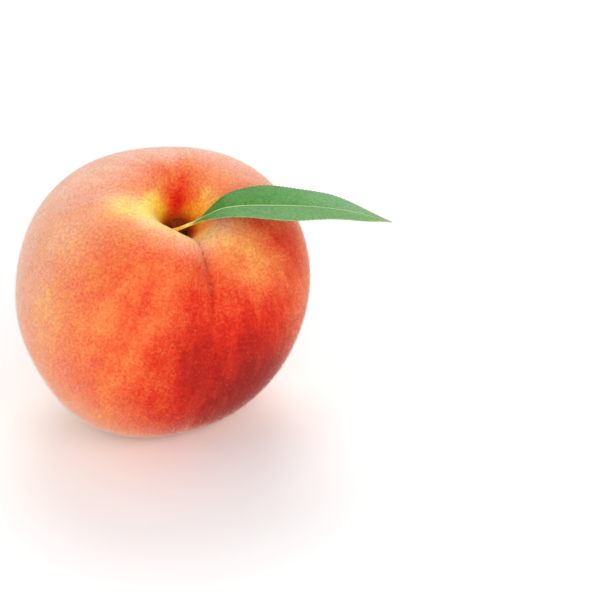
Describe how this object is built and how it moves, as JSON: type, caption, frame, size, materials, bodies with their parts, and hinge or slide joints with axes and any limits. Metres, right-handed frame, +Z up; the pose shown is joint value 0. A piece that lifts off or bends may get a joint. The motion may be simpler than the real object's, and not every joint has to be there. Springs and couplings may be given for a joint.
{
  "type": "peach",
  "caption": "Ripe peach as picked, with a seam down its front, a short woody stem in the stem cavity and a leaf still attached; rests on a small flat spot.",
  "frame": {"origin": "centre of the small flat spot that the fruit rests on, on the surface under it", "axes": "+Z up from the surface, -Y the front with the seam between the lobes, +X the side that the leaf points to"},
  "size_m": [0.0952, 0.0746, 0.0688],
  "materials": {
    "skin": "velvety skin, orange and yellow under a red blush, with fine pale fuzz",
    "bark": "dry dark brown bark with a cut end",
    "leaf": "waxy green leaf with pale veins"
  },
  "bodies": {
    "root": {"fruit": "skin", "stem": "bark", "leaf": "leaf"}
  },
  "joints": []
}
